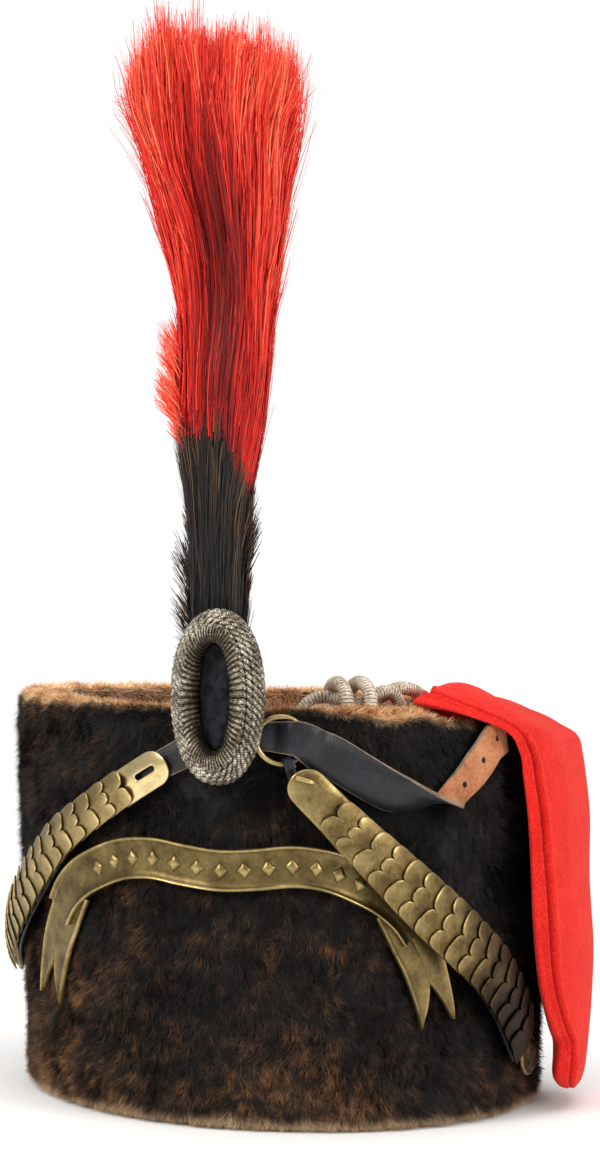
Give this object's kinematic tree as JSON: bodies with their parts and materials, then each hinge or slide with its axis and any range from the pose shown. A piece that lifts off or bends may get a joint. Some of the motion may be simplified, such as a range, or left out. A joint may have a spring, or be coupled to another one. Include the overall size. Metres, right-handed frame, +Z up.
{
  "type": "busby",
  "caption": "Cylindrical fur cap, open below, with a cloth side bag, oval field badge, tall plume, scroll plate and brass chin scales on leather straps.",
  "frame": {"origin": "on the surface that the cap rests on, under the middle of its whole outline", "axes": "+Z up, the badge and plume toward -Y, the wearer's left with the bag toward +X"},
  "size_m": [0.211, 0.2524, 0.3714],
  "materials": {
    "dark_fur": "short dense dark brown fur, lighter brown at the rolled edges",
    "red_cloth": "felted red wool cloth",
    "silver_cord": "cord wound with dulled silver wire",
    "black_velvet": "black velvet",
    "brass": "stamped brass, aged, edges rubbed bright",
    "dark_leather": "smooth black leather, tan on the flesh side",
    "red_hair": "coarse dyed hair",
    "black_hair": "coarse black hair",
    "steel_wire": "plain wire and plate"
  },
  "bodies": {
    "root": {"fur_body": "dark_fur", "crown_cloth": "red_cloth", "bag": "red_cloth", "cap_cord_long": "silver_cord", "cap_cord_short": "silver_cord", "cap_cord_turn_1": "silver_cord", "cap_cord_turn_2": "silver_cord", "badge_ring": "silver_cord", "badge_field": "black_velvet", "badge_back": "steel_wire", "plume_black": "black_hair", "plume_red": "red_hair", "plume_stem": "steel_wire", "scroll_plate": "brass", "strap_left": "dark_leather", "strap_right": "dark_leather", "strap_ring": "brass", "end_cap_left": "brass", "end_cap_right": "brass", "boss_left": "brass", "boss_right": "brass", "scale_left_01": "brass", "scale_left_02": "brass", "scale_left_03": "brass", "scale_left_04": "brass", "scale_left_05": "brass", "scale_left_06": "brass", "scale_left_07": "brass", "scale_left_08": "brass", "scale_left_09": "brass", "scale_left_10": "brass", "scale_left_11": "brass", "scale_left_12": "brass", "scale_left_13": "brass", "scale_left_14": "brass", "scale_left_15": "brass", "scale_left_16": "brass", "scale_right_01": "brass", "scale_right_02": "brass", "scale_right_03": "brass", "scale_right_04": "brass", "scale_right_05": "brass", "scale_right_06": "brass", "scale_right_07": "brass", "scale_right_08": "brass", "scale_right_09": "brass", "scale_right_10": "brass", "scale_right_11": "brass", "scale_right_12": "brass", "scale_right_13": "brass", "scale_right_14": "brass", "scale_right_15": "brass", "scale_right_16": "brass"}
  },
  "joints": []
}
